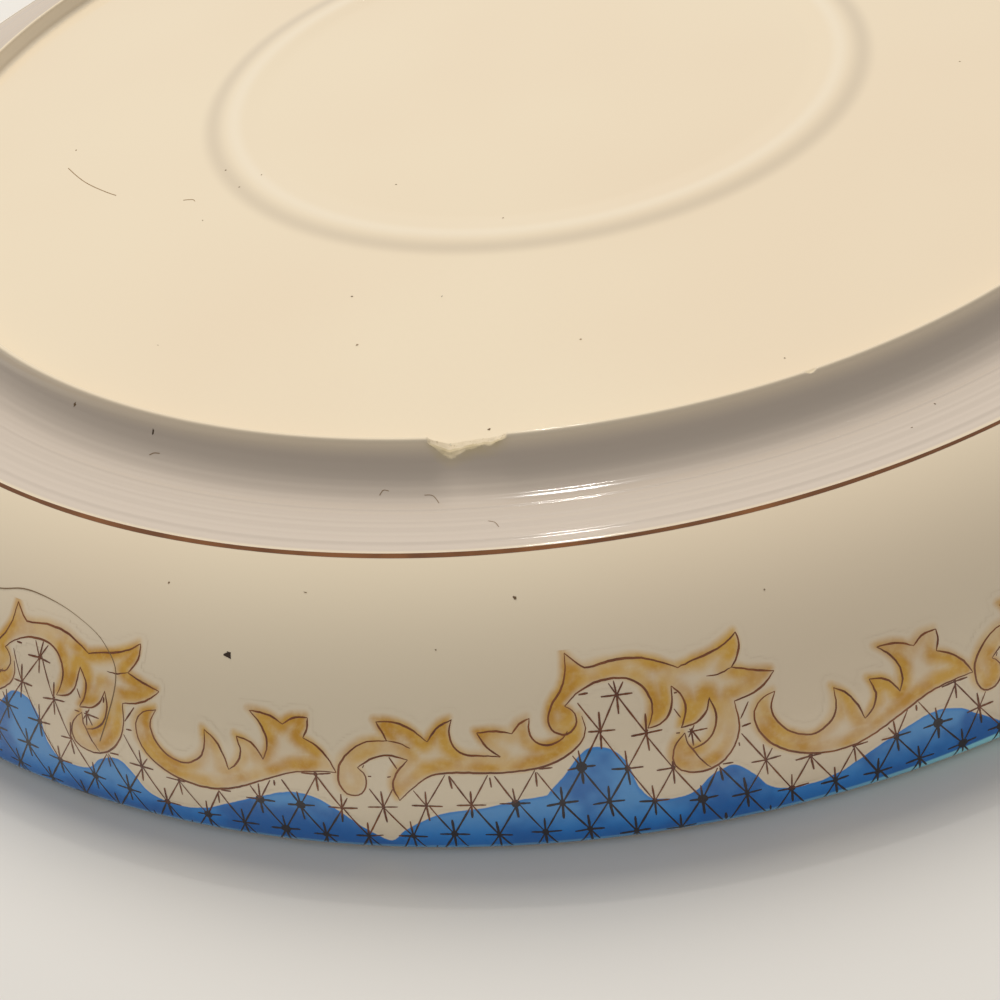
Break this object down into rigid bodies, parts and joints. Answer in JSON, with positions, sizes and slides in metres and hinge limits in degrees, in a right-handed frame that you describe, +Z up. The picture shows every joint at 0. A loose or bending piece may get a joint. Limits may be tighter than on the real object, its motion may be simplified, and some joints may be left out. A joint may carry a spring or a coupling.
{
  "type": "bowl",
  "caption": "Shallow round china bowl lying upside down on its rim, its foot ring up, with a bite broken out of the foot and a printed border round the wall.",
  "frame": {"origin": "centre of the bowl in the plane of its rim, which it lies on", "axes": "+Z up through the foot ring, as the bowl lies upside down; -Y towards the side with the bite"},
  "size_m": [0.24, 0.24, 0.0316],
  "materials": {
    "ivory_glaze": "clear gloss over a warm ivory body",
    "ochre_wash": "translucent ochre colour under the gloss",
    "blue_wash": "translucent blue colour under the gloss",
    "brown_ink": "printed brown line under the gloss",
    "dirt": "dry dust and crumbs"
  },
  "bodies": {
    "root": {"bowl": "ivory_glaze"}
  },
  "joints": []
}
